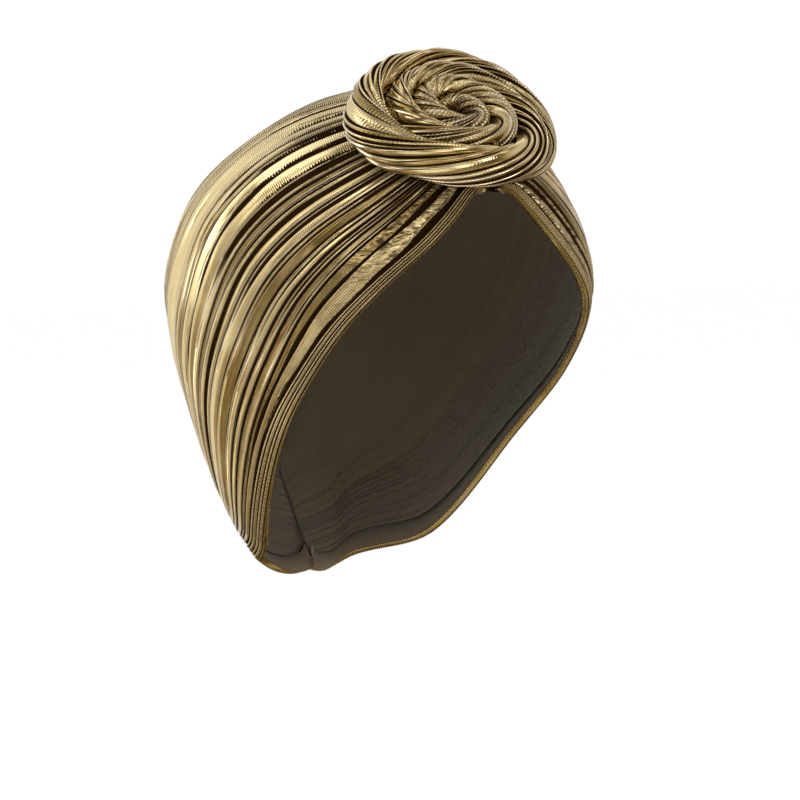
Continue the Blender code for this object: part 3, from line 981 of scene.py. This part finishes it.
def gold_cloth(name, course_pitch, rib_height, top_ribs, rib_shade_depth, serration, fold_highlight, roughness):
    """Foil on knit, bright on the folds, with ribs across the pleats; painted shade in gaps and creases,
    painted highlights.
    """
    material, tree, shader = new_material(name, Specular_IOR_Level=0.0)
    uv, across, along, course, wale = cloth_places(tree, course_pitch)
    fold, bend, tone, hammer, verge, comb = (
        fact(tree, name) for name in ("fold", "bend", "tone", "hammer", "verge", "comb"))
    stretched = node(tree, "ShaderNodeVectorMath", {0: uv, 1: STRETCH}, operation="MULTIPLY")
    over_top = (1.0 - soft_step(calc("ABSOLUTE", across), *TOP_RANGE)) * top_ribs
    ribbed = ribbed_share(uv, tone, over_top)
    # painted shade in the valleys between the knit's courses
    painted_rib_shade = (0.5 - course * 0.5) * ribbed * rib_shade_depth
    # painted highlight along the fold lines, weaker over the top
    line = soft_step(fold, *LINE_RISE) - soft_step(fold, *LINE_FALL)
    line = line * (fold_highlight - over_top * TOP_HIGHLIGHT_CUT)
    colour = mixed(worn_share(uv, tone), FOIL, WORN)
    # painted highlight over the top, painted shade in the rib valleys, painted highlight on the fold lines
    for share, tint in ((over_top * TOP_HIGHLIGHT_SHARE, TOP_HIGHLIGHT_TINT), (painted_rib_shade, DARK), (line, FOLD_HIGHLIGHT_TINT)):
        colour = mixed(share, colour, tint)
    # The foil mask also paints shade: dark, dull cloth in the gaps, low on the gap walls (higher up them over
    # the top) and in creases
    foil = soft_step(fold + course * ribbed * serration - (bend + over_top * TOP_WALL_SHADE), *FOIL_RANGE)
    for bare in (bare_flecks(stretched, hammer), bare_teeth(uv, along, verge, comb)):
        foil = foil * (1.0 - bare)
    rough = roughness + grain(uv, ROUGH_GRAIN) * ROUGH_VARIATION
    ribs = (course + wale * WALE_SHARE) * ribbed * rib_height
    dents = grain(stretched, DENT_GRAIN) * hammer * DENT_HEIGHT
    put(shader["Base Color"], mixed(foil, DARK, colour))
    put(shader["Metallic"], foil)
    put(shader["Roughness"], rough + (1.0 - foil) * ROUGH_BARE + over_top * TOP_ROUGH)
    put(shader["Normal"], bump(ribs + dents))
    return material


def knit_reverse():
    """The plain back of the cloth: dull dark knit."""
    material, tree, shader = new_material("knit_reverse", Roughness=0.8, Sheen_Weight=0.2)
    course, wale = cloth_places(tree, CROWN_COURSES)[-2:]
    knit = (course + wale) * 0.5
    put(shader["Base Color"], mixed(0.5 + knit * REVERSE_CONTRAST, REVERSE_DARK, REVERSE_LIGHT))
    put(shader["Normal"], bump(knit, REVERSE_HEIGHT))
    return material


CROWN_GOLD = gold_cloth("crown_gold", CROWN_COURSES, rib_height=0.00007, top_ribs=0.62, rib_shade_depth=0.36,
                        serration=0.4, fold_highlight=0.7, roughness=0.13)
HEM_GOLD = gold_cloth("hem_gold", HEM_BEADS, rib_height=0.00002, top_ribs=0.0, rib_shade_depth=0.75,
                      serration=0.1, fold_highlight=0.2, roughness=0.2)
KNOT_GOLD = gold_cloth("knot_gold", KNOT_COURSES, rib_height=0.00016, top_ribs=0.0, rib_shade_depth=0.8,
                       serration=0.4, fold_highlight=0.9, roughness=0.11)
REVERSE = knit_reverse()
print("materials:", ", ".join(m.name for m in bpy.data.materials))

# %% [markdown]
# ## Pressing the pieces
# Each shell goes through the tree with its own sizes. The crown's faces lean either way and sink a little,
# the hems have shallow beaded ribs, and the knot's ridges all lean one way. What isn't named here stays 0.

# %% Press the pieces
crown = pressed(crown_shell(), "crown_cloth", {
    "Edge Radius": EDGE_RADIUS * MM, "Edge Share": EDGE_SHARE, "Lean": 1.4, "Bulge": 0.18, "Peak": 0.3,
    "Sink": 0.5, "Crease Depth": 0.7 * MM, "Crease Width": CREASE_WIDTH * MM, "Waver": 0.5 * MM,
    "Waver Length": 30.0 * MM, "Bead Pitch": 1.0 * MM, "Seed": 3, "Cloth": CROWN_GOLD, "Reverse": REVERSE})
hem_settings = {
    "Edge Radius": 1.2 * MM, "Edge Share": 0.34, "Lean": 0.3, "Bulge": 0.1, "Crease Width": 1.0 * MM,
    "Waver": 0.2 * MM, "Waver Length": 25.0 * MM, "Bead Pitch": HEM_BEADS, "Bead Height": 0.24 * MM,
    "Seed": 21, "Cloth": HEM_GOLD, "Reverse": REVERSE}
hem_right = pressed(hem_shell("hem_right", -1), "hem_right_cloth", hem_settings)
hem_left = pressed(hem_shell("hem_left", 1), "hem_left_cloth", hem_settings)
knot = pressed(knot_shell(), "knot_cloth", {
    "Edge Radius": 0.4 * MM, "Edge Share": 0.28, "Lean": 0.8, "Lean Bias": 0.9, "Peak": 0.6, "Sink": 0.6,
    "Crease Width": 1.0 * MM, "Waver": 0.4 * MM, "Waver Length": 14.0 * MM, "Bead Pitch": 1.0 * MM,
    "Seed": 21, "Cloth": KNOT_GOLD, "Reverse": REVERSE})

# %% [markdown]
# ## Camera
# The hat is seen from the wearer's right front, from a little above its rim, through a long lens. Turning the
# camera a little puts the hat where it is in the picture without changing the angle it is seen from.

# %% Camera
VIEW_AZIMUTH = math.radians(-35.0)
VIEW_ELEVATION = math.radians(3.0)
VIEW_DISTANCE = 1.3
HAT_CENTRE = Vector((0.0, 0.021, -0.0815))
HAT_PIXEL = (380, 290)
PICTURE = 800
PIXELS_PER_METRE = 2430.0
SENSOR = 36.0
LEVEL = math.cos(VIEW_ELEVATION)
BACK = Vector((math.sin(VIEW_AZIMUTH) * LEVEL, -math.cos(VIEW_AZIMUTH) * LEVEL, math.sin(VIEW_ELEVATION)))
RIGHT = Vector((math.cos(VIEW_AZIMUTH), math.sin(VIEW_AZIMUTH), 0.0))
UP = BACK.cross(RIGHT)


def from_camera(right, up, back):
    """A direction or a way given as the camera sees it."""
    return RIGHT * right + UP * up + BACK * back


def aimed(thing, place, aim):
    """Puts a camera or lamp at a place, facing a point."""
    thing.location = place
    thing.rotation_euler = (aim - place).to_track_quat("-Z", "Y").to_euler()
    return thing


def add_camera():
    """The camera at the picture's angle and framing."""
    across, down = ((PICTURE / 2 - pixel) / PIXELS_PER_METRE for pixel in HAT_PIXEL)
    data = bpy.data.cameras.new("camera")
    data.sensor_width = SENSOR
    data.lens = SENSOR * VIEW_DISTANCE * PIXELS_PER_METRE / PICTURE
    aim = HAT_CENTRE + from_camera(across, -down, 0.0)
    camera = aimed(new_object("camera", data), HAT_CENTRE + BACK * VIEW_DISTANCE, aim)
    bpy.context.scene.camera = camera
    return camera


camera = add_camera()
print(f"lens {camera.data.lens:.0f} mm")

# %% [markdown]
# ## Light and floor
# Foil shows what is around it. Three soft panels in a pale room light the cloth, and a tent of light that is
# seen only in the foil's reflections stands round it: dim and brown, with soft openings for the broad bright
# bands and small lamps for the sparkle. So the stripes can be placed without changing the light on the floor.

# %% Light and floor
FLOOR_HEIGHT = -0.48
FLOOR_SIZE = 12.0
FLOOR_COLOUR = (0.95, 0.95, 0.95, 1.0)
ROOM_STRENGTH = 1.05
PANELS = (
    ("key_panel", (-0.9, 1.3, 0.9), (0.6, 0.6), 2.2),
    ("side_panel", (-1.6, 0.2, 0.2), (0.3, 1.6), 2.5),
    ("fill_panel", (1.4, 0.5, 1.0), (0.4, 1.2), 2.5),
)


def soft_panel(name, place, size, power):
    """A large soft light, placed as the camera sees it and aimed at the hat."""
    data = bpy.data.lights.new(name, "AREA")
    data.shape = "RECTANGLE"
    data.size, data.size_y = size
    data.energy = power
    return aimed(new_object(name, data), HAT_CENTRE + from_camera(*place), HAT_CENTRE)


def add_floor():
    """A plain pale floor below the hat, kept out of the foil's reflections."""
    bpy.ops.mesh.primitive_plane_add(size=FLOOR_SIZE, location=(0.0, 0.0, FLOOR_HEIGHT))
    floor = bpy.context.object
    floor.name = "floor"
    floor.visible_glossy = False
    floor.data.materials.append(
        new_material("floor_paper", Base_Color=FLOOR_COLOUR, Roughness=0.9, Specular_IOR_Level=0.0)[0])


def pale_room():
    """Even pale light from all round, kept out of the foil's reflections."""
    world = bpy.data.worlds.new("pale_room")
    world.use_nodes = True
    background = world.node_tree.nodes["Background"]
    background.inputs[0].default_value = (1.0, 1.0, 1.0, 1.0)
    background.inputs[1].default_value = ROOM_STRENGTH
    bpy.context.scene.world = world
    world.cycles_visibility.glossy = False


# %% Light tent
TENT_RADIUS = 3.5
TENT_DIM = 0.12
TENT_BROWN, TENT_WHITE = (1.0, 0.72, 0.37, 1.0), (1.0, 0.98, 0.95, 1.0)
TENT_WHITE_RANGE = (0.1, 0.9)
TENT_OPENINGS = (  # right, up and back as the camera sees them; inner and outer angle; strength
    (-0.60, 0.45, -0.65, 48.0, 74.0, 0.85),
    (0.80, 0.20, -0.55, 20.0, 50.0, 0.6),
    (-0.75, -0.55, 0.00, 18.0, 44.0, 0.3),
    (0.50, -0.15, 0.72, 8.0, 24.0, 0.9),
    (0.10, -1.00, 0.00, 25.0, 50.0, 0.22),
    (0.05, -0.80, 0.60, 12.0, 30.0, 0.8),
)
LAMP = (5.0, 14.0, 1.7)
LAMP_ROWS = (
    (-28.0, (-62.0, -12.0, 40.0)),
    (10.0, (-84.0, -40.0, 6.0, 56.0)),
    (48.0, (-70.0, -24.0, 28.0, 78.0)),
)
TENT_HIDDEN_FROM = ("camera", "diffuse", "transmission", "volume_scatter", "shadow")


def lamp_openings():
    """Rows of small soft lamps on the camera's side."""
    angles = np.radians([(height, side) for height, sides in LAMP_ROWS for side in sides]).tolist()
    ways = [(math.sin(s) * math.cos(h), math.sin(h), math.cos(s) * math.cos(h)) for h, s in angles]
    return tuple(way + LAMP for way in ways)


def tent_light(tree):
    """The tent's strength in each direction: dim, with a soft-edged opening for each row."""
    place = node(tree, "ShaderNodeTexCoord", (), "Object")
    way = node(tree, "ShaderNodeVectorMath", {0: place}, operation="NORMALIZE")
    light = TENT_DIM
    for right, up, back, inner, outer, strength in TENT_OPENINGS + lamp_openings():
        towards = {0: way, 1: tuple(from_camera(right, up, back).normalized())}
        facing = node(tree, "ShaderNodeVectorMath", towards, "Value", operation="DOT_PRODUCT")
        edges = math.cos(math.radians(outer)), math.cos(math.radians(inner))
        light = light + soft_step(facing, *edges) * strength
    return light


def light_tent():
    """A dim tent with soft bright openings that only the foil sees."""
    bpy.ops.mesh.primitive_uv_sphere_add(segments=48, ring_count=24, radius=TENT_RADIUS, location=HAT_CENTRE)
    tent = bpy.context.object
    tent.name = "light_tent"
    material = bpy.data.materials.new("light_tent")
    material.use_nodes = True
    material.cycles.emission_sampling = "NONE"
    tree = material.node_tree
    tree.nodes.clear()
    light = tent_light(tree)
    colour = mixed(soft_step(light, *TENT_WHITE_RANGE), TENT_BROWN, TENT_WHITE)
    glow = node(tree, "ShaderNodeEmission", {"Color": colour, "Strength": light})
    put(tree.nodes.new("ShaderNodeOutputMaterial").inputs["Surface"], glow)
    tent.data.materials.append(material)
    for sight in TENT_HIDDEN_FROM:
        setattr(tent, "visible_" + sight, False)


add_floor()
pale_room()
light_tent()
for panel in PANELS:
    soft_panel(*panel)
bpy.context.scene.view_settings.view_transform = "Standard"
print("light:", len(PANELS), "panels and", len(TENT_OPENINGS + lamp_openings()), "openings in the tent")

# %% [markdown]
# ## Joining the frame
# Each piece takes the place of its solid and rides with the part.

# %% Pieces and their solids
for piece, solid, finish in (
    (crown, "crown", "crown_cloth"), (hem_right, "face_hem_right", "hem_cloth"),
    (hem_left, "face_hem_left", "hem_cloth"), (knot, "knot_coil", "knot_cloth"),
):
    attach(piece, "root")
    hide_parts(solid)
